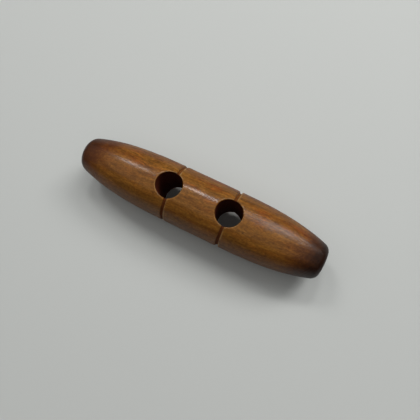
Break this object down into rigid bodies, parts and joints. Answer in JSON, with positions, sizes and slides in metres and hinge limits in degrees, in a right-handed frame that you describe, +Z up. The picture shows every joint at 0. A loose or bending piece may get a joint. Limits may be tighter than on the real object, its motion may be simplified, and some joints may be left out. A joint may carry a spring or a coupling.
{
  "type": "toggle button",
  "caption": "Turned wooden toggle button, cigar shaped with flat ends, sewn on through cross-drilled holes that each sit in a narrow ring groove.",
  "frame": {"origin": "middle of the toggle's length, directly below its axis, on the surface that it rests on", "axes": "+X along the toggle, +Z up along the thread holes, +Y across"},
  "size_m": [0.06, 0.0136, 0.0136],
  "materials": {
    "lacquered_wood": "honey-brown stain under clear gloss lacquer, ends shaded dark brown"
  },
  "bodies": {
    "root": {"toggle_body": "lacquered_wood"}
  },
  "joints": []
}
